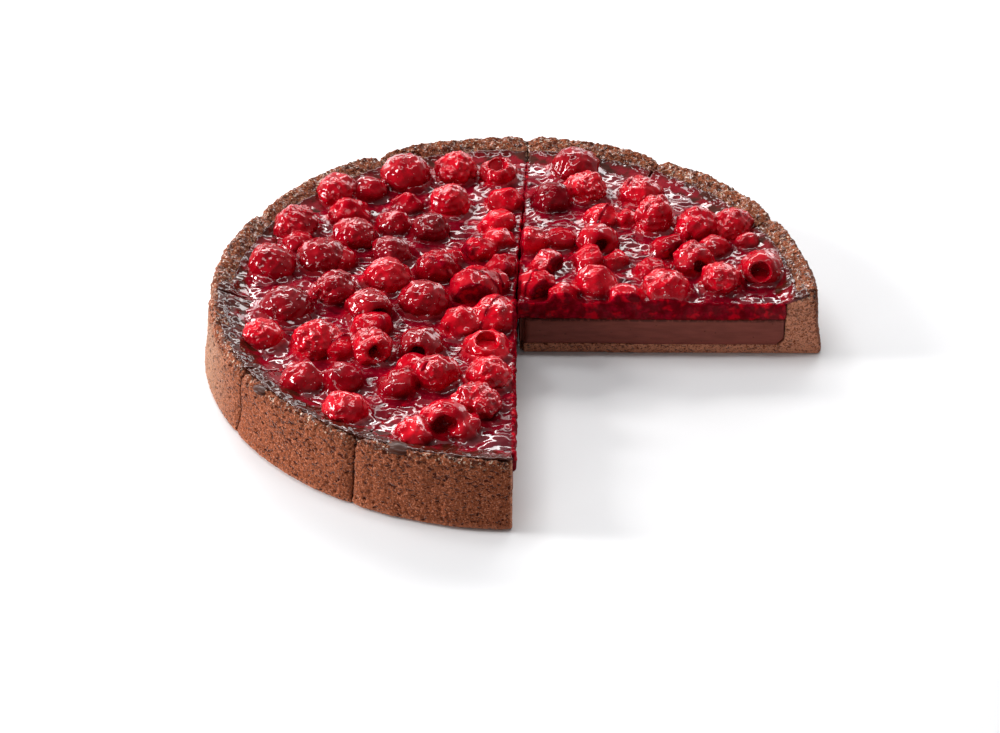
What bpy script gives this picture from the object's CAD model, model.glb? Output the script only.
"""The looks of a cocoa tart with ganache and glazed raspberries: its pastry, fillings, fruit and glaze.

Lengths in the tables are millimetres, and go into the meshes in metres. Angles are degrees,
counterclockwise seen from above, from +X. The front of the tart is towards -Y.
"""

import math
from collections import namedtuple

import bpy
import numpy as np
from mathutils import Euler, Matrix, Vector


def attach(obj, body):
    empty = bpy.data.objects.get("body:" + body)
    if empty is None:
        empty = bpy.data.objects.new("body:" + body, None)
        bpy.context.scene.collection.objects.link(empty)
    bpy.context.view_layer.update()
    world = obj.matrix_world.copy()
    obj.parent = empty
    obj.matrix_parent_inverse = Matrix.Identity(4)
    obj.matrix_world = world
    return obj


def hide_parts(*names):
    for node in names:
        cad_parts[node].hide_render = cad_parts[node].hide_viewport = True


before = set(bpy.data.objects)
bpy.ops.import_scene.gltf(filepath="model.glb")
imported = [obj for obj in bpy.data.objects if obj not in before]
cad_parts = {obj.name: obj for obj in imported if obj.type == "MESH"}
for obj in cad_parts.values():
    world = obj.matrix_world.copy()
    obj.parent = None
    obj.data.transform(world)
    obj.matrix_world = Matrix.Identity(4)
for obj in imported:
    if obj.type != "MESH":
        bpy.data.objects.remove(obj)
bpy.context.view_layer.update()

bl_info = {
    "name": "Raspberry Chocolate Tart",
    "version": (1, 0, 0),
    "blender": (4, 5, 0),
    "location": "View3D > Sidebar > Tart",
    "description": "Dresses the tart: cocoa pastry, ganache, jelly, glazed raspberries and the stage",
    "category": "Add Mesh",
}

MM = 0.001

# The cuts, as the frame has them: the left slices and the right ones, which were pushed aside
CUT_CENTRE = (0.0, -5.0)
PUSHED_BY = (2.3, -0.1)
CRACK = 0.7
LEFT_CUTS = (270.0, 239.5, 208.0, 178.7, 149.6, 118.0, 87.2)
RIGHT_CUTS = (88.1, 60.5, 29.6, -0.3)

# Heights and reach of the layers
FILLING_RADIUS = 116.0
GANACHE_TOP = 17.0
JELLY_EDGE = 24.0
GAP = 0.3

# Where each raspberry lies and how: place, middle above the jelly's edge, width, length, how far its
# crown leans and towards which side, how bright it is, how thick its glaze, and where its hollow
# shows, the hollow's radius as a share of the width
Berry = namedtuple("Berry", "x y up wide long lean side tone glaze hollow", defaults=(0.0,))

WHOLE_BERRIES = [Berry(*row) for row in (
    # The back of the left part
    (-7, 100, 3.0, 18, 15, 172, 90, 0.7, 0.5, 0.22),
    (-26, 102, 3.5, 20, 19, 40, 250, 0.8, 0.5),
    (-28, 73, 3.5, 18, 19, 15, 200, 0.7, 1.0),
    (-49, 97, 4.0, 22, 21, 65, 30, 0.5, 1.0),
    (-79, 83, 3.5, 18, 19, 70, 240, 0.6, 1.0),
    (-37, 51, 3.0, 17, 17, 20, 300, 0.1, 1.0),
    (-70, 46, 3.5, 18, 20, 60, 310, 0.4, 1.0),
    (-53, 32, 2.5, 18, 17, 35, 270, 0.2, 1.0),
    # The left side
    (-96, 54, 3.0, 20, 20, 45, 60, 0.5, 0.5),
    (-104, 22, 3.0, 20, 20, 60, 160, 0.4, 1.0),
    (-83, 27, 3.0, 21, 20, 50, 10, 0.3, 1.0),
    (-54, 11, 3.0, 21, 19, 70, 280, 0.7, 1.0),
    (-76, 2, 3.0, 19, 18, 30, 260, 0.3, 0.5),
    (-96, -11, 2.0, 23, 20, 30, 180, 0.15, 1.0),
    (-38, -8, 3.5, 21, 20, 60, 190, 0.4, 1.0),
    (-61, -13, 3.5, 19, 20, 100, 120, 0.4, 1.0, 0.14),
    (-104, -34, 2.5, 17, 17, 25, 200, 0.8, 1.0),
    (-81, -38, 3.5, 21, 21, 65, 220, 0.8, 0.5),
    # The front of the left part
    (-59, -43, 3.5, 19, 20, 110, 110, 0.7, 0.5, 0.14),
    (-38, -41, 3.0, 19, 20, 105, 80, 0.3, 1.0, 0.18),
    (-11, -41, 1.5, 20, 16, 162, 100, 1.0, 0.5, 0.22),
    (-31, -62, 3.5, 18, 20, 50, 240, 0.6, 1.0),
    (-10, -63, 3.0, 19, 19, 45, 300, 0.9, 0.5),
    (-15, -82, 3.0, 19, 20, 70, 310, 0.7, 0.5),
    (-67, -87, 2.0, 19, 18, 35, 230, 0.9, 1.0),
    # The right part
    (28, 105, 3.0, 22, 20, 70, 180, 0.3, 1.0),
    (32, 86, 3.0, 19, 19, 50, 320, 0.8, 0.5),
    (57, 82, 3.0, 19, 18, 60, 330, 0.6, 1.0),
    (62, 59, 4.0, 18, 22, 12, 90, 0.7, 0.5),
    (96, 55, 3.0, 18, 19, 60, 45, 0.7, 0.5),
    (65, 3, 3.0, 20, 19, 40, 160, 0.9, 0.5),
    (89, 10, 3.5, 18, 19, 45, 260, 0.8, 0.5),
    (107, 19, 3.5, 19, 20, 118, 80, 0.6, 1.0, 0.2),
)]

FUSED_BERRIES = [Berry(*row) for row in (
    # Standing out as far as the whole ones, but grown together with the jelly
    (-73, 64, 2.5, 16, 18, 60, 200, 0.6, 0.5),
    (-16, 3, 2.5, 21, 20, 70, 200, 0.6, 1.0),
    (-8, -19, 2.5, 19, 20, 50, 20, 0.8, 0.5),
    (81, 54, 3.0, 18, 19, 40, 200, 0.7, 0.5),
    (36, 42, 3.0, 17, 19, 108, 110, 0.6, 0.5, 0.13),
    (35, 7, 3.0, 17, 18, 120, 300, 0.8, 0.5, 0.14),
    (78, 26, 2.5, 17, 19, 105, 110, 0.6, 0.5, 0.18),
    (-27, -95, 2.0, 20, 19, 112, 90, 0.7, 0.5, 0.22),
    (-86, -65, 2.0, 16, 17, 50, 150, 0.5, 1.0),
    (-70, -66, 2.0, 16, 16, 20, 30, 0.3, 1.0),
    # Crushed
    (-4, 76, 2.5, 15, 14, 50, 120, 0.9, 0.5),
    (-65, 85, 2.5, 14, 15, 60, 20, 0.5, 1.0),
    (-53, 56, 2.5, 14, 13, 50, 240, 0.4, 0.5),
    (-7, 57, 2.5, 15, 14, 60, 150, 1.0, 0.5),
    (-6, 44, 2.0, 12, 14, 70, 200, 0.9, 0.5),
    (-15, 35, 1.5, 15, 14, 60, 100, 0.7, 0.5),
    (-33, 19, 3.0, 18, 16, 50, 90, 0.4, 0.5),
    (-5, 21, 2.5, 13, 13, 60, 330, 0.5, 0.5),
    (-22, -23, 2.5, 15, 16, 60, 130, 0.7, 0.5),
    (-47, -68, 1.5, 16, 14, 50, 180, 0.4, 1.0),
    (-39, -103, 1.5, 16, 14, 80, 30, 0.9, 0.5),
    (16, 78, 2.0, 18, 15, 70, 200, 0.1, 1.0),
    (8, 41, 3.0, 13, 15, 40, 90, 0.8, 0.5),
    (21, 45, 1.5, 13, 13, 60, 0, 0.6, 0.5),
    (32, 26, 2.0, 16, 12, 70, 180, 0.7, 0.5),
    (16, 25, 2.0, 12, 14, 30, 120, 0.9, 0.5),
    (44, 27, 2.0, 11, 12, 60, 60, 0.7, 0.5),
    (10, 6, 3.0, 15, 15, 60, 0, 0.8, 0.5),
    (21, -1, 1.5, 13, 13, 60, 90, 0.7, 0.5),
    (60, 19, 1.5, 14, 15, 80, 200, 0.6, 0.5),
    (68, 38, 2.0, 14, 16, 80, 210, 0.5, 0.5),
    (-41, -56, 2.0, 13, 13, 60, 120, 0.6, 1.0),
    (-74, 26, 2.5, 12, 13, 40, 30, 0.5, 1.0),
    (-94, 41, 2.0, 12, 13, 60, 250, 0.5, 0.5),
    (-59, -27, 2.5, 15, 15, 60, 280, 0.6, 1.0),
    (-47, 74, 1.5, 13, 13, 50, 20, 0.4, 0.5),
    (-72, -43, 2.0, 14, 15, 60, 320, 0.8, 0.5),
    (-19, -99, 1.5, 12, 15, 70, 60, 0.8, 0.5),
    (-8, 8, 2.0, 13, 13, 40, 0, 0.7, 0.5),
    (-28, 27, 1.5, 12, 12, 50, 150, 0.5, 0.5),
    (39, 63, 2.0, 13, 14, 60, 10, 0.9, 0.5),
    (51, 62, 1.5, 11, 13, 70, 200, 0.8, 0.5),
    (13, 22, 1.5, 12, 13, 70, 90, 0.8, 0.5),
    (102, 44, 1.5, 9, 10, 50, 0, 0.7, 1.0),
    (87, 38, 2.0, 12, 13, 60, 300, 0.7, 1.0),
    (48, -1, 1.0, 13, 16, 80, 0, 0.9, 0.5),
)]
THINNEST_BIT = 3.5
SLUMP = 0.86
SPREAD = 1.12

Slice = namedtuple("Slice", "number tip start end")


def length(name, description, default, least=0.0):
    """A length in metres that can be set."""
    return bpy.props.FloatProperty(name=name, description=description, default=default, min=least,
                                   subtype="DISTANCE", unit="LENGTH")


def colour(name, description, default):
    """A colour that can be set, as linear light."""
    return bpy.props.FloatVectorProperty(name=name, description=description, default=default,
                                         subtype="COLOR", size=3, min=0.0, max=1.0)


class TartSizes(bpy.types.PropertyGroup):
    """The fineness of the pastry, the fruit and the glaze."""
    pastry_grid: length("Pastry Grid", "Distance between the points of the pastry's surface",
                        0.55 * MM, 0.3 * MM)
    jelly_grid: length("Jelly Grid", "Distance between the points of the jelly's surface",
                       0.6 * MM, 0.3 * MM)
    crag_depth: length("Crag Depth", "How far the rim's crags stand out", 0.7 * MM)
    pore_depth: length("Pore Depth", "How deep the pores of the outer wall are", 0.7 * MM)
    dent_depth: length("Dent Depth", "How deep the dents and folds of a raspberry are", 3.0 * MM)
    ripple_height: length("Ripple Height", "Height of the small waves in the jelly's glaze", 0.15 * MM)


class TartColours(bpy.types.PropertyGroup):
    """The colours of the tart's materials."""
    pastry: colour("Pastry", "Cocoa pastry on its outer wall", (0.240, 0.064, 0.027))
    pastry_dark: colour("Dark Pastry", "Pastry in its pores and along the baked rim",
                        (0.060, 0.0095, 0.003))
    pastry_pale: colour("Pale Pastry", "Grains of pastry, and its foot", (0.50, 0.180, 0.098))
    wall_pale: colour("Pale Wall", "The paler side of the outer wall", (0.38, 0.235, 0.155))
    crumb: colour("Crumb", "Pastry where the knife cut it", (0.62, 0.25, 0.15))
    sugar: colour("Sugar", "Grains of sugar on the rim", (0.82, 0.64, 0.48))
    ganache: colour("Ganache", "Chocolate ganache at a cut", (0.215, 0.045, 0.030))
    jelly: colour("Jelly", "Dark jelly between the raspberries", (0.060, 0.002, 0.006))
    jelly_crimson: colour("Crimson Jelly", "Jelly close to the raspberries", (0.26, 0.001, 0.012))
    shadow: colour("Deep Jelly", "Jelly in the corners under the raspberries", (0.025, 0.0006, 0.002))
    pulp: colour("Pulp", "Pale flecks of crushed fruit", (0.80, 0.075, 0.10))
    fleck: colour("Fleck", "Grains and bubbles in the glaze", (0.95, 0.62, 0.62))
    raspberry: colour("Raspberry", "The brightest raspberries", (0.62, 0.0012, 0.012))
    raspberry_dark: colour("Dark Raspberry", "The darkest raspberries", (0.13, 0.0005, 0.004))
    rim_chocolate: colour("Rim Chocolate", "Chocolate under the rim's glaze", (0.060, 0.010, 0.005))
    drop_chocolate: colour("Drop Chocolate", "Drops of melted chocolate", (0.040, 0.014, 0.008))


class StageSettings(bpy.types.PropertyGroup):
    """The floor, the lights and the camera."""
    floor: colour("Floor", "The pale floor", (0.72, 0.72, 0.73))
    surround: bpy.props.FloatProperty(
        name="Surround", description="Strength of the light from the studio behind the tart",
        default=0.55, min=0.0)
    camera_height: bpy.props.FloatProperty(
        name="Camera Elevation", description="Angle at which the camera looks down",
        default=math.radians(33.66), subtype="ANGLE", unit="ROTATION")
    camera_distance: length("Camera Distance", "From the tart's middle on the table to the camera",
                            1.2917, 0.1)
    lens: bpy.props.FloatProperty(
        name="Lens", description="Focal length of the camera", default=108.0, min=1.0,
        subtype="DISTANCE_CAMERA")


# Selecting, modifiers and other small tools


def deselect_all():
    """Deselects every object."""
    for item in bpy.context.selected_objects:
        item.select_set(False)


def select_only(piece):
    """Makes one object the active one and the only one selected."""
    deselect_all()
    piece.select_set(True)
    bpy.context.view_layer.objects.active = piece


def finish_with(piece, kind, **settings):
    """Adds a modifier with its settings and applies it."""
    select_only(piece)
    modifier = piece.modifiers.new(kind.title(), kind)
    for key, value in settings.items():
        setattr(modifier, key, value)
    bpy.ops.object.modifier_apply(modifier=modifier.name)


def remesh(piece, size):
    """Gives a piece one closed skin with evenly spaced points."""
    finish_with(piece, "REMESH", mode="VOXEL", voxel_size=size)


def smooth(piece, times):
    """Softens a piece's surface, as many times as it says."""
    finish_with(piece, "SMOOTH", factor=0.5, iterations=times)


def in_edit_mode(piece):
    """Opens one object in edit mode, with all of it selected."""
    select_only(piece)
    bpy.ops.object.mode_set(mode="EDIT")
    bpy.ops.mesh.select_all(action="SELECT")


def out_of_edit_mode():
    """Closes edit mode."""
    bpy.ops.object.mode_set(mode="OBJECT")


def new_piece(name, mesh):
    """Puts a mesh into a new object at the origin."""
    piece = bpy.data.objects.new(name, mesh)
    mesh.name = name
    bpy.context.scene.collection.objects.link(piece)
    return piece


def copy_of_node(node, name):
    """A merged copy of a solid of the frame, to be refined."""
    piece = new_piece(name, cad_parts[node].data.copy())
    piece.data.materials.clear()
    in_edit_mode(piece)
    bpy.ops.mesh.remove_doubles(threshold=0.01 * MM)
    out_of_edit_mode()
    return piece


def join(pieces):
    """Joins several objects into the first one."""
    select_only(pieces[0])
    for piece in pieces:
        piece.select_set(True)
    bpy.ops.object.join()
    return pieces[0]


def points_of(piece):
    """The places of a mesh's points, in millimetres."""
    places = np.empty(len(piece.data.vertices) * 3, np.float32)
    piece.data.vertices.foreach_get("co", places)
    return places.reshape(-1, 3) / MM


def weigh(piece, name, weights):
    """Makes a vertex group from one weight for each point."""
    group = piece.vertex_groups.new(name=name)
    levels = np.round(np.clip(weights, 0.0, 1.0), 1)
    for level in np.unique(levels):
        if level > 0.0:
            group.add(np.nonzero(levels == level)[0].tolist(), float(level), "REPLACE")
    return group.name


def mark(piece, name, values):
    """Stores one number for each point, for the materials."""
    attribute = piece.data.attributes.new(name, "FLOAT", "POINT")
    attribute.data.foreach_set("value", np.asarray(values, np.float32))


def ramp_between(values, low, high):
    """Smooth steps from 0 at low to 1 at high."""
    share = np.clip((values - low) / (high - low), 0.0, 1.0)
    return share * share * (3.0 - 2.0 * share)


def relief_texture(name, kind, size, **settings):
    """A procedural texture for a Displace modifier, by the size of its features in millimetres."""
    texture = bpy.data.textures.get(name) or bpy.data.textures.new(name, kind)
    texture.noise_scale = size * MM
    for key, value in settings.items():
        setattr(texture, key, value)
    return texture


def pore_texture(name, size, width):
    """A texture that is 0 in round pores, one to a cell, and 1 between them."""
    texture = relief_texture(name, "VORONOI", size)
    texture.use_color_ramp = True
    stops = texture.color_ramp.elements
    stops[0].position, stops[0].color = width * 0.5, (0, 0, 0, 1)
    stops[1].position, stops[1].color = width, (1, 1, 1, 1)
    return texture


def displace(piece, texture, strength, group="", middle=0.5):
    """Moves a mesh's points in and out by a texture that is fixed in space."""
    finish_with(piece, "DISPLACE", texture=texture, texture_coords="GLOBAL", strength=strength,
                mid_level=middle, vertex_group=group)


def thin_out(piece, group, ratio):
    """Takes points away where a weight says that nothing shows."""
    finish_with(piece, "DECIMATE", decimate_type="COLLAPSE", ratio=ratio, vertex_group=group,
                vertex_group_factor=10.0, use_collapse_triangulate=True)


def finish_piece(piece, material):
    """Gives a piece its material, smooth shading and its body."""
    piece.data.materials.clear()
    piece.data.materials.append(material)
    piece.vertex_groups.clear()
    select_only(piece)
    bpy.ops.object.shade_smooth()
    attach(piece, "root")
    return piece


# The slices


def heading(angle):
    """The level direction at an angle in radians."""
    return Vector((math.cos(angle), math.sin(angle)))


def make_slices():
    """The nine slices: each tip is drawn back along its slice, which opens the crack by a cut."""
    left_tip = Vector(CUT_CENTRE)
    right_tip = left_tip + Vector(PUSHED_BY)
    cuts = [(left_tip, low, high) for high, low in zip(LEFT_CUTS, LEFT_CUTS[1:])]
    cuts += [(right_tip, low, high) for high, low in zip(RIGHT_CUTS, RIGHT_CUTS[1:])]
    slices = []
    for number, (tip, low, high) in enumerate(cuts, 1):
        start, end = math.radians(low), math.radians(high)
        pull = CRACK / 2 / math.sin((end - start) / 2)
        slices.append(Slice(number, tip + heading((start + end) / 2) * pull, start, end))
    return slices


SLICES = make_slices()


def depths_in(piece, x, y):
    """How far places lie inside a slice from its starting and its ending cut, in millimetres."""
    away_x, away_y = x - piece.tip.x, y - piece.tip.y
    first, last = heading(piece.start), heading(piece.end)
    return first.x * away_y - first.y * away_x, away_x * last.y - away_y * last.x


def depth_in(piece, x, y):
    """How far places lie inside a slice from the nearer cut."""
    return np.minimum(*depths_in(piece, x, y))


def home_slice(berry):
    """The slice in which a berry's middle lies deepest."""
    return max(SLICES, key=lambda piece: float(depth_in(piece, berry.x, berry.y)))


# These cuts stand open, the first two of them to the empty quarter, and all the others are fine cracks
LAST_LEFT, FIRST_RIGHT = 6, 7
OPEN_CUTS = ((1, "end"), (9, "start"), (LAST_LEFT, "start"), (FIRST_RIGHT, "end"))
QUARTER_CUTS = OPEN_CUTS[:2]


def depths_from_quarter(piece, x, y):
    """How far places lie inside a slice from the cut, if any, that faces the empty quarter."""
    starting, ending = depths_in(piece, x, y)
    return [depth for depth, name in ((starting, "start"), (ending, "end"))
            if (piece.number, name) in QUARTER_CUTS]


def trim_to_slice(target, piece, margin=0.0, over_cracks=None):
    """Cuts off what reaches over a slice's two cuts, and closes the cut faces."""
    for name, angle, side in (("start", piece.start, -1.0), ("end", piece.end, 1.0)):
        if over_cracks is not None and (piece.number, name) not in OPEN_CUTS:
            if over_cracks == "whole":
                continue
            margin = over_cracks
        outwards = Vector((-math.sin(angle), math.cos(angle))) * side
        place = piece.tip + outwards * margin
        in_edit_mode(target)
        bpy.ops.mesh.bisect(plane_co=(*(place * MM), 0.0), plane_no=(*outwards, 0.0), use_fill=True,
                            clear_outer=True, threshold=0.001 * MM)
        out_of_edit_mode()


# The raspberries

DRUPELET_SPACING = 0.15
DRUPELET_RADIUS = 0.088
CORE_RADIUS = 0.455
BERRY_OUTLINE = ((0.02, 0.50), (0.17, 0.47), (0.31, 0.38), (0.40, 0.24), (0.44, 0.09), (0.44, -0.07),
                 (0.41, -0.21), (0.35, -0.33), (0.26, -0.42))
SMALL_HOLLOW = 0.15
LARGE_HOLLOW = 0.23
BERRY_GRID = 0.032
THIN, THICK = 0.5, 1.0


def model_raspberry(hollow, glaze):
    """One raspberry of width and length 1 with its crown up: rows of drupelets on a core, glazed."""
    name = f"model_{hollow}_{glaze}"
    deselect_all()
    bpy.ops.mesh.primitive_uv_sphere_add(segments=32, ring_count=16, radius=CORE_RADIUS)
    berry = bpy.context.object
    berry.name = name
    bpy.ops.object.mode_set(mode="EDIT")
    for row, (radius, height) in enumerate(BERRY_OUTLINE):
        around = max(1, round(math.tau * radius / DRUPELET_SPACING))
        turn = math.pi / around * (row % 2)
        place = (radius * math.cos(turn), radius * math.sin(turn), height)
        bpy.ops.mesh.select_all(action="DESELECT")
        bpy.ops.mesh.primitive_ico_sphere_add(subdivisions=2, radius=DRUPELET_RADIUS, location=place)
        if around > 1:
            bpy.ops.mesh.spin(steps=around - 1, dupli=True, angle=math.tau * (around - 1) / around,
                              center=(0, 0, 0), axis=(0, 0, 1))
    out_of_edit_mode()
    remesh(berry, BERRY_GRID)
    if hollow:
        deselect_all()
        bpy.ops.mesh.primitive_uv_sphere_add(segments=24, ring_count=12, radius=hollow,
                                             location=(0, 0, -0.45), scale=(1.0, 1.0, 0.4 / hollow))
        cutter = bpy.context.object
        finish_with(berry, "BOOLEAN", operation="DIFFERENCE", object=cutter, solver="EXACT")
        bpy.data.objects.remove(cutter)
        remesh(berry, BERRY_GRID)
    smooth(berry, 26 if glaze == THICK else 14)
    return berry


def berry_matrix(berry):
    """Size, lean, turn and place of a raspberry; the fused ones have spread a little."""
    wide = berry.wide * MM * (SPREAD if berry in FUSED_BERRIES else 1.0)
    size = Matrix.Diagonal((wide, wide, berry.long * MM, 1.0))
    lean = Matrix.Rotation(math.radians(berry.lean), 4, "Y")
    turn = Matrix.Rotation(math.radians(berry.side), 4, "Z")
    place = Matrix.Translation(Vector((berry.x, berry.y, JELLY_EDGE + berry.up)) * MM)
    return place @ Matrix.Diagonal((1.0, 1.0, SLUMP, 1.0)) @ turn @ lean @ size


def place_raspberry(name, berry, models):
    """A copy of the model that a berry is like, in its place."""
    hollow = 0.0 if berry.hollow == 0.0 else SMALL_HOLLOW if berry.hollow < 0.19 else LARGE_HOLLOW
    piece = new_piece(name, models[hollow, berry.glaze].data.copy())
    piece.data.transform(berry_matrix(berry))
    return piece


def make_models():
    """The six raspberries that all the others are copies of."""
    return {(hollow, glaze): model_raspberry(hollow, glaze)
            for hollow in (0.0, SMALL_HOLLOW, LARGE_HOLLOW) for glaze in (THIN, THICK)}


def remove_models(models):
    """Removes the models once their copies are made."""
    for model in models.values():
        bpy.data.objects.remove(model)


def dent(piece, berry, sizes):
    """Folds and dents that differ from place to place, softer under thick glaze."""
    folds = relief_texture("folds", "CLOUDS", 7.0, noise_depth=1, noise_basis="ORIGINAL_PERLIN")
    skins = relief_texture("skins", "VORONOI", 6.5, weight_1=-1.0, weight_2=1.0, noise_intensity=2.0)
    displace(piece, folds, sizes.dent_depth)
    displace(piece, skins, sizes.dent_depth * (0.25 if berry.glaze == THICK else 0.6), "", 0.4)
    smooth(piece, 3)


# Materials


class Value:
    """A number that varies over a surface. Written into an expression, it adds its Math nodes."""

    def __init__(self, nodes, socket):
        self.nodes = nodes
        self.socket = socket

    def maths(self, operation, first, second=0.0):
        made = self.nodes.node("ShaderNodeMath", {"operation": operation}, {0: first, 1: second})
        return Value(self.nodes, made.outputs[0])

    def __add__(self, other):
        return self.maths("ADD", self, other)

    def __radd__(self, other):
        return self.maths("ADD", other, self)

    def __sub__(self, other):
        return self.maths("SUBTRACT", self, other)

    def __rsub__(self, other):
        return self.maths("SUBTRACT", other, self)

    def __mul__(self, other):
        return self.maths("MULTIPLY", self, other)

    def __rmul__(self, other):
        return self.maths("MULTIPLY", other, self)

    def __pow__(self, other):
        return self.maths("POWER", self, other)

    def at_least(self, other):
        """The larger of two values."""
        return self.maths("MAXIMUM", self, other)

    def steps(self, low, high):
        """Smooth steps from 0 at low to 1 at high; low may be the higher one."""
        made = self.nodes.node("ShaderNodeMapRange", {"interpolation_type": "SMOOTHSTEP"},
                               {"Value": self, "From Min": low, "From Max": high})
        return Value(self.nodes, made.outputs["Result"])


class Nodes:
    """The node tree of a material or a world."""

    def __init__(self, owner):
        owner.use_nodes = True
        self.tree = owner.node_tree

    def node(self, kind, settings=None, inputs=None):
        """Adds any node: its settings first, then the values or links of its sockets."""
        made = self.tree.nodes.new(kind)
        for key, value in (settings or {}).items():
            setattr(made, key, value)
        for key, value in (inputs or {}).items():
            if isinstance(value, Value):
                value = value.socket
            if isinstance(value, bpy.types.NodeSocket):
                self.tree.links.new(value, made.inputs[key])
            else:
                made.inputs[key].default_value = value
        return made


class Finish(Nodes):
    """A procedural material, read in Object coordinates."""

    def __init__(self, name, **constants):
        self.material = bpy.data.materials.new(name)
        super().__init__(self.material)
        self.shader = self.tree.nodes["Principled BSDF"]
        self.place = self.node("ShaderNodeTexCoord").outputs["Object"]
        for key, value in constants.items():
            self.shader.inputs[key.replace("_", " ").title().replace("Ior", "IOR")].default_value = value

    def noise(self, size, detail=2.0, rough=0.5, twist=0.0, stretch=None):
        """Cloudy noise about 0 to 1, by the size of its features in millimetres."""
        place = self.place
        if stretch:
            place = self.node("ShaderNodeMapping", inputs={"Vector": place, "Scale": stretch}).outputs[0]
        made = self.node("ShaderNodeTexNoise", inputs={
            "Vector": place, "Scale": 1.0 / (size * MM), "Detail": detail, "Roughness": rough,
            "Distortion": twist})
        return Value(self, made.outputs["Fac"])

    def cells(self, size):
        """The distance to the nearest cell's middle, in cells."""
        made = self.node("ShaderNodeTexVoronoi",
                         inputs={"Vector": self.place, "Scale": 1.0 / (size * MM)})
        return Value(self, made.outputs["Distance"])

    def axis(self, name):
        """One coordinate, in metres."""
        return Value(self, self.node("ShaderNodeSeparateXYZ", inputs={0: self.place}).outputs[name])

    def radius(self):
        """The level distance from the tart's middle, in metres."""
        x, y = self.axis("X"), self.axis("Y")
        return (x * x + y * y) ** 0.5

    def stored(self, name):
        """A number that the mesh stores for each point."""
        return Value(self, self.node("ShaderNodeAttribute", {"attribute_name": name}).outputs["Fac"])

    def mix(self, share, first, second):
        """A colour between two."""
        made = self.node("ShaderNodeMix", {"data_type": "RGBA"}, {0: share})
        for index, colour in ((6, first), (7, second)):
            if isinstance(colour, bpy.types.NodeSocket):
                self.tree.links.new(colour, made.inputs[index])
            else:
                made.inputs[index].default_value = (*colour, 1.0)
        return made.outputs[2]

    def drive(self, name, value):
        """Links a value or colour to one of the shader's sockets."""
        socket = value.socket if isinstance(value, Value) else value
        self.tree.links.new(socket, self.shader.inputs[name])

    def bump(self, height, depth):
        """Fine relief, by its depth in millimetres."""
        made = self.node("ShaderNodeBump", inputs={"Strength": 1.0, "Distance": depth * MM,
                                                   "Height": height})
        self.drive("Normal", made.outputs[0])


# Heights between which the pastry changes, and the radii of the rim's inner slope, in metres
FOOT = (3.5 * MM, 0.8 * MM)
RIM = (25.5 * MM, 29.0 * MM)
INNER_EDGE = (24.0 * MM, 26.5 * MM)
CROWDED_PORES = (6.0 * MM, 22.0 * MM)
RIM_TOP = (130.0 * MM, 127.5 * MM)
RIM_INSIDE = (129.0 * MM, 126.0 * MM)
# How far towards the back and the left the wall turns pale
PALE_SIDE = (45.0 * MM, 110.0 * MM)


def pastry_finish(colours):
    """Sandy cocoa pastry: speckled, full of small pores, tan at its foot, dark and wet at the rim."""
    f = Finish("cocoa_pastry", roughness=0.85, specular_ior_level=0.08, coat_roughness=0.12,
               sheen_weight=0.25, sheen_roughness=0.15)
    height, radius = f.axis("Z"), f.radius()
    broad, grain = f.noise(14.0, 3.0), f.noise(1.0, 3.0, 0.65)
    crowded = height.steps(*CROWDED_PORES) * 0.04
    pores = (f.noise(2.1, 1.5, 0.5, 0.0, (1.0, 1.0, 1.7)) + crowded).steps(0.63, 0.67)
    small_pores = f.noise(0.9, 1.0, 0.5, 0.0, (1.0, 1.0, 1.4)).steps(0.63, 0.68)
    cut = f.stored("cut")
    foot = height.steps(*FOOT)
    rim = height.steps(*RIM)
    base = f.mix(grain.steps(0.22, 0.58), colours.pastry_dark, colours.pastry)
    base = f.mix(broad.steps(0.25, 0.75) * 0.4, base, colours.pastry)
    base = f.mix(f.noise(0.7, 2.0, 0.6).steps(0.52, 0.66) * 0.8, base, colours.pastry_pale)
    base = f.mix(foot * 0.5, base, colours.pastry_pale)
    pale_side = (f.axis("Y") * 0.9 - f.axis("X")).steps(*PALE_SIDE) * (1.0 - rim)
    base = f.mix(pale_side * 0.55, base, colours.wall_pale)
    mottled = f.noise(1.3, 3.0, 0.7, 1.0)
    base = f.mix(cut * mottled.steps(0.36, 0.54), base, colours.crumb)
    base = f.mix(cut * mottled.steps(0.40, 0.28) * 0.8, base, colours.pastry_dark)
    baked = rim * f.noise(3.5, 3.0, 0.6).steps(0.50, 0.62)
    base = f.mix(baked * 0.7, base, colours.pastry_dark)
    base = f.mix(pores * (0.95 - cut * 0.5), base, colours.pastry_dark)
    base = f.mix(small_pores * 0.75, base, colours.pastry_dark)
    sugar = rim * radius.steps(*RIM_TOP) * f.noise(1.0, 2.0, 0.6).steps(0.59, 0.65)
    base = f.mix(sugar * 0.85, base, colours.sugar)
    f.drive("Base Color", base)
    wet = height.steps(*INNER_EDGE) * radius.steps(*RIM_INSIDE) * (1.0 - cut)
    wet = wet * f.noise(2.2, 2.0, 0.6).steps(0.50, 0.62)
    f.drive("Roughness", 0.88 - wet * 0.5)
    f.drive("Coat Weight", wet * 0.9)
    f.bump(grain * 0.6 + f.noise(0.5, 2.0) * 0.3 - pores * 1.1 - small_pores * 0.6 + sugar, 0.6)
    return f.material


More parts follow.
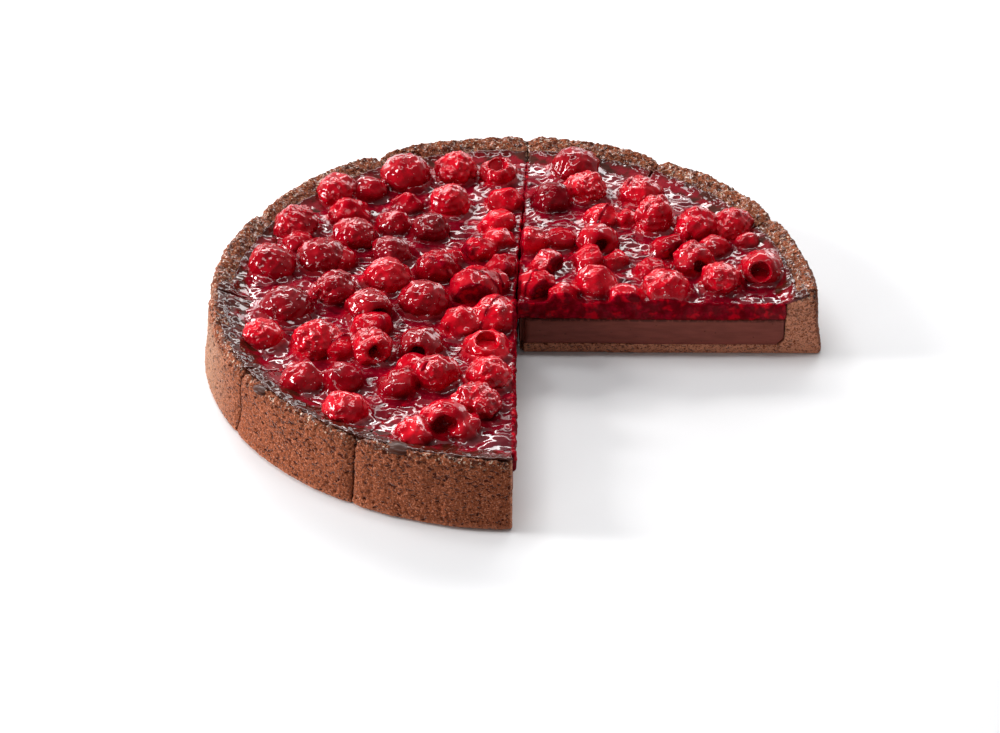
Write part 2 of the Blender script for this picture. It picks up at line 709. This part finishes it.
def ganache_finish(colours):
    """Smooth chocolate ganache with faint drag marks of the knife and small bubbles."""
    f = Finish("chocolate_ganache", roughness=0.55, specular_ior_level=0.25)
    drag = f.noise(9.0, 3.0, 0.5, 0.0, (1.0, 1.0, 6.0))
    bubbles = f.cells(3.0).steps(0.12, 0.06)
    base = f.mix(drag.steps(0.3, 0.7) * 0.25, colours.ganache, colours.pastry_dark)
    base = f.mix(bubbles * 0.6, base, colours.pastry_dark)
    crumbs = f.axis("Z").steps(15.6 * MM, 16.6 * MM) * f.noise(1.5, 3.0, 0.6).steps(0.35, 0.55)
    f.drive("Base Color", f.mix(crumbs * 0.85, base, colours.pastry_dark))
    f.drive("Roughness", 0.48 + drag * 0.2)
    f.bump(drag * 0.6 - bubbles, 0.25)
    return f.material


def fruit_colour(f, colours, tone):
    """The red of the fruit: deep in patches, with paler flecks of pulp."""
    deep = f.noise(5.0, 2.0).steps(0.38, 0.68)
    base = f.mix(tone, colours.raspberry_dark, colours.raspberry)
    base = f.mix(deep * 0.45, base, colours.raspberry_dark)
    soft = f.noise(2.5, 3.0, 0.6).steps(0.50, 0.75) * tone.steps(0.5, 1.0)
    base = f.mix(soft * 0.35, base, colours.pulp)
    return f.mix(flecks(f) * 0.8, base, colours.fleck)


def flecks(f):
    """Small grains and bubbles in the glaze."""
    return f.noise(1.2, 1.5, 0.5).steps(0.69, 0.73) * f.noise(7.0).steps(0.42, 0.54)


def jelly_finish(colours):
    """Dark glossy jelly with small waves, and crushed raspberries where the mesh stores fruit."""
    f = Finish("raspberry_jelly", roughness=0.5, specular_ior_level=0.0, coat_weight=1.0,
               coat_roughness=0.06, coat_ior=1.4)
    fruit, tone = f.stored("fruit"), f.stored("tone")
    near = f.stored("near") * f.noise(5.0, 2.0).steps(0.24, 0.52)
    base = f.mix(near, colours.jelly, colours.jelly_crimson)
    base = f.mix(f.noise(3.5, 3.0, 0.6).steps(0.55, 0.75) * near * 0.6, base, colours.pulp)
    base = f.mix(fruit, base, fruit_colour(f, colours, tone))
    base = f.mix(f.stored("shade") * 0.9, base, colours.shadow)
    face = f.mix(f.noise(2.5, 3.0, 0.6).steps(0.25, 0.60), colours.jelly_crimson, colours.raspberry_dark)
    face = f.mix(f.noise(4.0, 2.0, 0.5).steps(0.52, 0.68) * 0.6, face, colours.raspberry)
    crumbs = f.axis("Z").steps(19.0 * MM, 17.6 * MM) * f.noise(2.2, 3.0, 0.6).steps(0.46, 0.58)
    face = f.mix(crumbs * 0.9, face, colours.pastry_dark)
    f.drive("Base Color", f.mix(f.stored("cut"), base, face))
    patches = f.noise(9.0, 2.0).steps(0.42, 0.56) + f.radius().steps(98.0 * MM, 110.0 * MM)
    f.drive("Coat Weight", (0.25 + patches * 0.75) * (1.0 - f.stored("cut") * 0.85))
    ripples = f.noise(6.0, 2.0, 0.45, 0.8, (1.0, 1.5, 1.0))
    f.bump(ripples * 0.25 + flecks(f) * 0.3, 0.6)
    return f.material


def raspberry_finish(colours):
    """A raspberry under thick clear glaze."""
    f = Finish("glazed_raspberry", roughness=0.5, specular_ior_level=0.0, coat_weight=1.0,
               coat_roughness=0.03, coat_ior=1.4)
    f.drive("Base Color", fruit_colour(f, colours, f.stored("tone")))
    f.bump(f.noise(4.5, 1.5, 0.45) * 0.3 + flecks(f) * 0.3, 0.6)
    return f.material


def rim_glaze_finish(colours):
    """Clear glaze over chocolate along the rim, with crimson where jelly ran into it."""
    f = Finish("rim_glaze", roughness=0.5, specular_ior_level=0.0, coat_weight=1.0,
               coat_roughness=0.04, coat_ior=1.4)
    crimson = f.noise(7.0, 2.0).steps(0.40, 0.60) * f.radius().steps(122.0 * MM, 115.0 * MM)
    f.drive("Base Color", f.mix(crimson * 0.85, colours.rim_chocolate, colours.jelly_crimson))
    f.bump(f.noise(2.6, 3.0, 0.55, 1.2) + flecks(f) * 0.3, 0.5)
    return f.material


def chocolate_finish(colours):
    """Dark chocolate that melted to a gloss."""
    f = Finish("dark_chocolate", roughness=0.4, specular_ior_level=0.1, coat_weight=0.12,
               coat_roughness=0.05)
    f.drive("Base Color", f.mix(f.noise(4.0, 2.0), colours.drop_chocolate, colours.pastry_dark))
    f.bump(f.noise(2.5, 2.0), 0.2)
    return f.material


def material_of(name, make):
    """A material that is made once, by its function."""
    return bpy.data.materials.get(name) or make(bpy.context.scene.tart_colours)


# Operators


# How far each side of the open crack at the back moves over it, in millimetres
NARROWED = 0.4


class TART_OT_crusts(bpy.types.Operator):
    """Refine each slice's pastry: crags on the rim, pores in the wall, crumb at the open cuts"""
    bl_idname = "tart.crusts"
    bl_label = "Pastry"

    def execute(self, context):
        sizes = context.scene.tart_sizes
        pastry = material_of("cocoa_pastry", pastry_finish)
        for piece in SLICES:
            crust = copy_of_node(f"slice_{piece.number}_crust", f"pastry_{piece.number}")
            remesh(crust, sizes.pastry_grid)
            smooth(crust, 2)
            self.roughen(crust, piece, sizes)
            x, y = points_of(crust).T[:2]
            cut = np.zeros(len(x))
            for depth in depths_from_quarter(piece, x, y):
                cut = np.maximum(cut, ramp_between(-depth, -0.9, -0.4))
            mark(crust, "cut", cut)
            finish_piece(crust, pastry)
            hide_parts(f"slice_{piece.number}_crust")
        return {"FINISHED"}

    def roughen(self, crust, piece, sizes):
        """Crags, pores and grain, and fewer points where the filling or the floor covers the pastry."""
        x, y, height = points_of(crust).T
        radius = np.hypot(x, y)
        rim = weigh(crust, "rim", ramp_between(height, 25.0, 28.5))
        outside = ramp_between(radius, 124.0, 128.0) * ramp_between(height, 0.6, 2.0)
        wall = weigh(crust, "wall", outside * (1.0 - 0.6 * ramp_between(height, 26.0, 29.0)))
        near_cut = ramp_between(-depth_in(piece, x, y), -1.6, -0.6)
        shows = np.maximum(ramp_between(radius, 116.5, 118.0), near_cut) * ramp_between(height, 0.2, 0.7)
        seen = weigh(crust, "seen", shows)
        displace(crust, relief_texture("crags", "CLOUDS", 4.2, noise_depth=2), sizes.crag_depth * 2, rim)
        displace(crust, relief_texture("granules", "VORONOI", 2.6), sizes.crag_depth * -1.6, rim, 0.4)
        displace(crust, pore_texture("large_pores", 4.0, 0.28), sizes.pore_depth, wall, 1.0)
        displace(crust, pore_texture("pores", 2.1, 0.30), sizes.pore_depth * 0.8, wall, 1.0)
        displace(crust, relief_texture("grain", "CLOUDS", 0.9, noise_depth=1), 0.7 * MM, seen)
        if piece.number in (LAST_LEFT, FIRST_RIGHT):
            self.narrow_gap(crust, piece, x, y)
        weigh(crust, "covered", 1.0 - shows)
        thin_out(crust, "covered", 0.55)

    def narrow_gap(self, crust, piece, x, y):
        """Brings the two parts of the rim closer together over the open crack at the back."""
        side, across = (0, NARROWED) if piece.number == LAST_LEFT else (1, -NARROWED)
        gap = depths_in(piece, x, y)[side]
        edge = ramp_between(-gap, -0.8, -0.3) * ramp_between(np.hypot(x, y), 112.0, 118.0)
        finish_with(crust, "DISPLACE", direction="X", strength=across * MM, mid_level=0.0,
                    vertex_group=weigh(crust, "edge", edge))


class TART_OT_ganache(bpy.types.Operator):
    """Give each slice its layer of ganache, softly worn at the cuts"""
    bl_idname = "tart.ganache"
    bl_label = "Ganache"

    def execute(self, context):
        ganache = material_of("chocolate_ganache", ganache_finish)
        for piece in SLICES:
            layer = copy_of_node(f"slice_{piece.number}_ganache", f"ganache_{piece.number}")
            remesh(layer, 1.0 * MM)
            displace(layer, relief_texture("drag", "CLOUDS", 9.0), 0.3 * MM, "", 0.2)
            finish_with(layer, "DISPLACE", strength=0.3 * MM, mid_level=0.0)
            finish_piece(layer, ganache)
            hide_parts(f"slice_{piece.number}_ganache")
        return {"FINISHED"}


def jelly_disc():
    """The jelly before it is cut: a flat round layer with a soft upper edge."""
    low, high = GANACHE_TOP + GAP, JELLY_EDGE + 1.2
    deselect_all()
    bpy.ops.mesh.primitive_cylinder_add(vertices=240, radius=(FILLING_RADIUS - GAP) * MM,
                                        depth=(high - low) * MM, location=(0, 0, (low + high) / 2 * MM))
    disc = bpy.context.object
    disc.name = "jelly_disc"
    bpy.ops.object.transform_apply(location=True, rotation=False, scale=False)
    in_edit_mode(disc)
    bpy.ops.mesh.select_all(action="DESELECT")
    out_of_edit_mode()
    for edge in disc.data.edges:
        edge.select = all(disc.data.vertices[index].co.z > (low + high) / 2 * MM for index in edge.vertices)
    bpy.ops.object.mode_set(mode="EDIT")
    bpy.ops.mesh.bevel(offset=1.0 * MM, segments=2)
    out_of_edit_mode()
    return disc


def collar(berry, number):
    """The low ring of glaze that creeps up round a raspberry."""
    deselect_all()
    bpy.ops.mesh.primitive_ico_sphere_add(subdivisions=3, radius=berry.wide * 0.62 * MM,
                                          location=Vector((berry.x, berry.y, JELLY_EDGE + 0.4)) * MM,
                                          scale=(1.0, 1.0, 0.34))
    ring = bpy.context.object
    ring.name = f"collar_{number}"
    bpy.ops.object.transform_apply(location=True, rotation=False, scale=True)
    return ring


# How far soft fruit and jelly bulge over an open cut and over a fine crack, in millimetres
BULGE = 0.7
BULGE_OVER_CRACK = CRACK / 2 + 0.6


class TART_OT_toppings(bpy.types.Operator):
    """Make each slice's jelly, with its crushed raspberries grown into it"""
    bl_idname = "tart.toppings"
    bl_label = "Jelly"

    def execute(self, context):
        sizes = context.scene.tart_sizes
        jelly = material_of("raspberry_jelly", jelly_finish)
        models = make_models()
        disc = jelly_disc()
        for piece in SLICES:
            topping = new_piece(f"jelly_{piece.number}", disc.data.copy())
            trim_to_slice(topping, piece, margin=4.0)
            fruit = []
            for number, berry in enumerate(WHOLE_BERRIES + FUSED_BERRIES):
                reach = float(depth_in(piece, berry.x, berry.y)) + berry.wide / 2
                at_home = berry in WHOLE_BERRIES and home_slice(berry) is piece
                if at_home:
                    fruit.append(collar(berry, number))
                elif reach > THINNEST_BIT:
                    crushed = place_raspberry(f"crushed_{number}", berry, models)
                    dent(crushed, berry, sizes)
                    fruit.append(crushed)
            topping = join([topping] + fruit)
            remesh(topping, sizes.jelly_grid)
            trim_to_slice(topping, piece, BULGE, over_cracks=BULGE_OVER_CRACK)
            remesh(topping, sizes.jelly_grid)
            smooth(topping, 6)
            self.ripple(topping, piece, sizes)
            self.mark_fruit(topping)
            finish_piece(topping, jelly)
            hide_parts(f"slice_{piece.number}_topping")
        remove_models(models)
        bpy.data.objects.remove(disc)
        return {"FINISHED"}

    def ripple(self, topping, piece, sizes):
        """Lumps of pulp and small waves, an uneven face at the open cuts, and fewer points below."""
        x, y, height = points_of(topping).T
        group = weigh(topping, "upper", ramp_between(height, GANACHE_TOP + 2.0, JELLY_EDGE - 1.0))
        displace(topping, relief_texture("pulp", "CLOUDS", 6.0, noise_depth=1), 1.7 * MM, group)
        displace(topping, relief_texture("ripples", "CLOUDS", 3.0, noise_depth=1), sizes.ripple_height, group)
        cut_pulp = relief_texture("cut_pulp", "CLOUDS", 4.0, noise_depth=1)
        for depth in depths_from_quarter(piece, x, y):
            open_face = weigh(topping, "open", 1.0 - ramp_between(depth, 0.0, 1.0))
            displace(topping, cut_pulp, 1.8 * MM, open_face, 0.3)
        mark(topping, "cut", 1.0 - ramp_between(depth_in(piece, x, y), 0.0, 0.7))
        weigh(topping, "under", 1.0 - ramp_between(height, GANACHE_TOP + 0.4, GANACHE_TOP + 0.9))
        thin_out(topping, "under", 0.6)

    def mark_fruit(self, topping):
        """Stores where the surface is fruit, how bright it is, what lies near it and in its shade."""
        places = np.c_[points_of(topping), np.ones(len(topping.data.vertices))]
        fruit, tone = np.zeros(len(places)), np.full(len(places), 0.3)
        near, shade = np.zeros(len(places)), np.zeros(len(places))
        for berry in WHOLE_BERRIES + FUSED_BERRIES:
            into = np.array(berry_matrix(berry).inverted() @ Matrix.Scale(MM, 4))
            into[3] = (0, 0, 0, 1)
            inside = np.linalg.norm((places @ into.T)[:, :3], axis=1)
            share = 1.0 - ramp_between(inside, 0.50, 0.66)
            near = np.maximum(near, 1.0 - ramp_between(inside, 0.50, 1.5))
            side = ((places[:, 0] - berry.x) * 0.8 - (places[:, 1] - berry.y) * 0.6) / berry.wide
            low = 1.0 - ramp_between(places[:, 2], JELLY_EDGE + 1.0, JELLY_EDGE + 4.5)
            beside = (1.0 - ramp_between(inside, 0.45, 0.95)) * ramp_between(side, 0.0, 0.5)
            shade = np.maximum(shade, beside * low)
            tone = np.where(share > fruit, berry.tone, tone)
            fruit = np.maximum(fruit, share)
        for name, values in (("near", near), ("shade", shade), ("fruit", fruit), ("tone", tone)):
            mark(topping, name, values)


class TART_OT_raspberries(bpy.types.Operator):
    """Lay the glazed raspberries in their places, each one cut where its slice is cut"""
    bl_idname = "tart.raspberries"
    bl_label = "Raspberries"

    def execute(self, context):
        sizes = context.scene.tart_sizes
        glazed = material_of("glazed_raspberry", raspberry_finish)
        models = make_models()
        for number, berry in enumerate(WHOLE_BERRIES, 1):
            whole = place_raspberry(f"berry_{number:02d}", berry, models)
            dent(whole, berry, sizes)
            points_before = len(whole.data.vertices)
            trim_to_slice(whole, home_slice(berry), 0.3 * BULGE, over_cracks="whole")
            if len(whole.data.vertices) != points_before:
                remesh(whole, sizes.jelly_grid)
                smooth(whole, 4)
            mark(whole, "tone", np.full(len(whole.data.vertices), berry.tone))
            finish_piece(whole, glazed)
            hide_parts(f"raspberry_{number:02d}")
        remove_models(models)
        return {"FINISHED"}


# The glaze on the rim: radius and height of its upper side, then back below it
RIM_GLAZE_OUTLINE = ((108.0, 24.0), (112.5, 25.2), (116.5, 26.5), (119.0, 27.9), (122.0, 29.6),
                     (126.0, 31.2), (125.4, 29.0), (119.0, 25.6), (108.0, 22.0))
# How much lower it lies at the back, in millimetres
SUNK_AT_BACK = 3.2


class TART_OT_rim_glaze(bpy.types.Operator):
    """Spread glaze and chocolate between the jelly and the rim"""
    bl_idname = "tart.rim_glaze"
    bl_label = "Glaze on the Rim"

    def execute(self, context):
        glaze = material_of("rim_glaze", rim_glaze_finish)
        ring = self.make_ring()
        for piece in SLICES:
            film = new_piece(f"rim_glaze_{piece.number}", ring.data.copy())
            trim_to_slice(film, piece)
            remesh(film, context.scene.tart_sizes.jelly_grid)
            smooth(film, 2)
            x, y = points_of(film).T[:2]
            radius = np.hypot(x, y)
            back = ramp_between(radius, 119.5, 121.5) * ramp_between(y, -20.0, 40.0)
            finish_with(film, "DISPLACE", direction="Z", strength=-SUNK_AT_BACK * MM, mid_level=0.0,
                        vertex_group=weigh(film, "back", back))
            edge = weigh(film, "edge", 0.3 + 0.7 * ramp_between(radius, 116.0, 121.0))
            displace(film, relief_texture("flow", "CLOUDS", 5.0, noise_depth=2), 3.0 * MM, edge, 0.52)
            displace(film, relief_texture("ripples", "CLOUDS", 3.0, noise_depth=1), 0.25 * MM)
            finish_piece(film, glaze)
        bpy.data.objects.remove(ring)
        return {"FINISHED"}

    def make_ring(self):
        """The glaze's outline, turned round the tart."""
        mesh = bpy.data.meshes.new("glaze_ring")
        outline = [(radius * MM, 0.0, height * MM) for radius, height in RIM_GLAZE_OUTLINE]
        mesh.from_pydata(outline, [(i, (i + 1) % len(outline)) for i in range(len(outline))], [])
        ring = new_piece("glaze_ring", mesh)
        in_edit_mode(ring)
        bpy.ops.mesh.spin(steps=240, dupli=False, angle=math.tau, center=(0, 0, 0), axis=(0, 0, 1))
        bpy.ops.mesh.select_all(action="SELECT")
        bpy.ops.mesh.remove_doubles(threshold=0.01 * MM)
        bpy.ops.mesh.normals_make_consistent(inside=False)
        out_of_edit_mode()
        return ring


# Drops of chocolate on the rim: place, width, depth and thickness in millimetres, and turn
Drop = namedtuple("Drop", "x y z wide deep thick turn")
DROPS = [Drop(*row) for row in (
    (-45.0, -117.3, 29.6, 11.5, 7.5, 3.2, -20),
    (-58.4, -107.5, 27.8, 10.5, 8.0, 2.8, -28),
    (-102.0, -76.5, 29.4, 8.0, 6.0, 2.6, -50),
)]


class TART_OT_drops(bpy.types.Operator):
    """Set the drops of dark chocolate into the glaze on the rim"""
    bl_idname = "tart.drops"
    bl_label = "Chocolate Drops"

    def execute(self, context):
        chocolate = material_of("dark_chocolate", chocolate_finish)
        for number, drop in enumerate(DROPS, 1):
            deselect_all()
            bpy.ops.mesh.primitive_uv_sphere_add(
                segments=40, ring_count=24, radius=0.5, location=Vector((drop.x, drop.y, drop.z)) * MM,
                rotation=(0.0, 0.0, math.radians(drop.turn)),
                scale=(drop.wide * MM, drop.deep * MM, drop.thick * MM))
            piece = bpy.context.object
            piece.name = f"chocolate_drop_{number}"
            bpy.ops.object.transform_apply(location=True, rotation=True, scale=True)
            displace(piece, relief_texture("flow", "CLOUDS", 8.0, noise_depth=1), 1.0 * MM)
            finish_piece(piece, chocolate)
        return {"FINISHED"}


# The stage. Each light has its place and what it is aimed at in metres, its width and height, its
# power in watts and its colour.
NEUTRAL, WARM, COOL = (1.0, 0.99, 0.98), (1.0, 0.98, 0.96), (0.97, 0.98, 1.0)
MIDDLE = (0.0, 0.0, 0.02)
Light = namedtuple("Light", "name place aim wide high power colour")
LIGHTS = (
    Light("window_back", (-0.35, 1.15, 1.00), MIDDLE, 0.5, 0.12, 4.0, NEUTRAL),
    Light("wall_back", (0.05, 1.25, 0.90), MIDDLE, 0.9, 0.25, 7.5, NEUTRAL),
    Light("back_right", (0.65, 1.15, 0.45), MIDDLE, 0.6, 0.5, 4.5, COOL),
    Light("back_left", (-0.65, 1.15, 0.45), MIDDLE, 0.6, 0.5, 4.5, COOL),
    Light("upper_left", (-0.55, 0.45, 1.12), MIDDLE, 0.30, 0.30, 3.4, COOL),
    Light("window_left", (-1.20, 0.10, 0.70), MIDDLE, 0.22, 0.30, 11.0, NEUTRAL),
    Light("low_left", (-1.30, 0.05, 0.28), MIDDLE, 0.50, 0.30, 15.0, (0.96, 0.98, 1.0)),
    Light("overhead", (0.0, 0.10, 1.35), (0.0, 0.0, 0.0), 0.9, 0.16, 6.0, (1.0, 1.0, 1.0)),
    Light("fill_front", (-0.75, -1.10, 0.30), MIDDLE, 0.5, 0.3, 3.5, WARM),
)
FLOOR_SIZE = 8.0
SENSOR_WIDTH = 36.0
NEAREST, FARTHEST = 0.05, 50.0
# How far to the left of the tart's middle and below it the camera is aimed
AIM_YAW = math.radians(0.307)
AIM_PITCH = math.radians(0.394)


class TART_OT_stage(bpy.types.Operator):
    """Set up the pale floor, the soft studio light and the camera"""
    bl_idname = "tart.stage"
    bl_label = "Stage"

    def execute(self, context):
        stage = context.scene.tart_stage
        self.lay_floor(stage)
        self.light_world(context.scene, stage)
        for light in LIGHTS:
            self.hang_light(light)
        self.place_camera(context.scene, stage)
        context.scene.view_settings.view_transform = "Standard"
        return {"FINISHED"}

    def lay_floor(self, stage):
        """A wide plane that the tart stands on."""
        deselect_all()
        bpy.ops.mesh.primitive_plane_add(size=FLOOR_SIZE, location=(0, 0, 0))
        floor = bpy.context.object
        floor.name = "floor"
        finish = Finish("floor", roughness=0.6)
        finish.shader.inputs["Base Color"].default_value = (*stage.floor, 1.0)
        floor.data.materials.append(finish.material)

    def light_world(self, scene, stage):
        """A white studio, bright behind the tart and dim in front of it."""
        world = bpy.data.worlds.new("studio")
        sky = Nodes(world)
        around = sky.node("ShaderNodeTexCoord").outputs["Generated"]
        depth = Value(sky, sky.node("ShaderNodeSeparateXYZ", inputs={0: around}).outputs["Y"])
        strength = (0.25 + depth.steps(-0.5, 0.8) * 0.75) * stage.surround
        seen = sky.node("ShaderNodeLightPath").outputs["Is Camera Ray"]
        background = sky.tree.nodes["Background"].inputs
        sky.tree.links.new(strength.at_least(Value(sky, seen)).socket, background["Strength"])
        background["Color"].default_value = (1.0, 1.0, 1.0, 1.0)
        scene.world = world

    def hang_light(self, light):
        """One softbox, turned towards what it lights."""
        data = bpy.data.lights.new(light.name, "AREA")
        data.shape = "RECTANGLE"
        data.size, data.size_y = light.wide, light.high
        data.energy, data.color = light.power, light.colour
        lamp = bpy.data.objects.new(light.name, data)
        lamp.location = light.place
        aim = Vector(light.aim) - Vector(light.place)
        lamp.rotation_euler = aim.to_track_quat("-Z", "Y").to_euler()
        bpy.context.scene.collection.objects.link(lamp)

    def place_camera(self, scene, stage):
        """A long lens in front of the tart, aimed a little below and to the left of its middle."""
        data = bpy.data.cameras.new("camera")
        data.lens = stage.lens
        data.sensor_width = SENSOR_WIDTH
        data.clip_start, data.clip_end = NEAREST, FARTHEST
        camera = bpy.data.objects.new("camera", data)
        reach, rise = math.cos(stage.camera_height), math.sin(stage.camera_height)
        camera.location = Vector((0.0, -reach, rise)) * stage.camera_distance
        tilt = math.pi / 2 - stage.camera_height - AIM_PITCH
        camera.rotation_euler = Euler((tilt, 0.0, AIM_YAW))
        scene.collection.objects.link(camera)
        scene.camera = camera


class TART_PT_panel(bpy.types.Panel):
    """Lists the tart's settings and steps"""
    bl_idname = "TART_PT_panel"
    bl_label = "Raspberry Tart"
    bl_space_type = "VIEW_3D"
    bl_region_type = "UI"
    bl_category = "Tart"

    def draw(self, context):
        for group in (context.scene.tart_sizes, context.scene.tart_colours, context.scene.tart_stage):
            box = self.layout.box()
            for name in group.__annotations__:
                box.prop(group, name)
        for operator in OPERATORS:
            self.layout.operator(operator.bl_idname)


OPERATORS = (TART_OT_crusts, TART_OT_ganache, TART_OT_toppings, TART_OT_raspberries, TART_OT_rim_glaze,
             TART_OT_drops, TART_OT_stage)
CLASSES = (TartSizes, TartColours, StageSettings, *OPERATORS, TART_PT_panel)


def register():
    """Registers the classes and hangs the settings on the scene."""
    for item in CLASSES:
        bpy.utils.register_class(item)
    bpy.types.Scene.tart_sizes = bpy.props.PointerProperty(type=TartSizes)
    bpy.types.Scene.tart_colours = bpy.props.PointerProperty(type=TartColours)
    bpy.types.Scene.tart_stage = bpy.props.PointerProperty(type=StageSettings)


def unregister():
    """Takes the settings and the classes away again."""
    del bpy.types.Scene.tart_stage
    del bpy.types.Scene.tart_colours
    del bpy.types.Scene.tart_sizes
    for item in reversed(CLASSES):
        bpy.utils.unregister_class(item)


def main():
    """Makes everything in order."""
    register()
    bpy.ops.tart.crusts()
    bpy.ops.tart.ganache()
    bpy.ops.tart.toppings()
    bpy.ops.tart.raspberries()
    bpy.ops.tart.rim_glaze()
    bpy.ops.tart.drops()
    bpy.ops.tart.stage()
    bpy.context.view_layer.update()


if __name__ == "__main__":
    main()
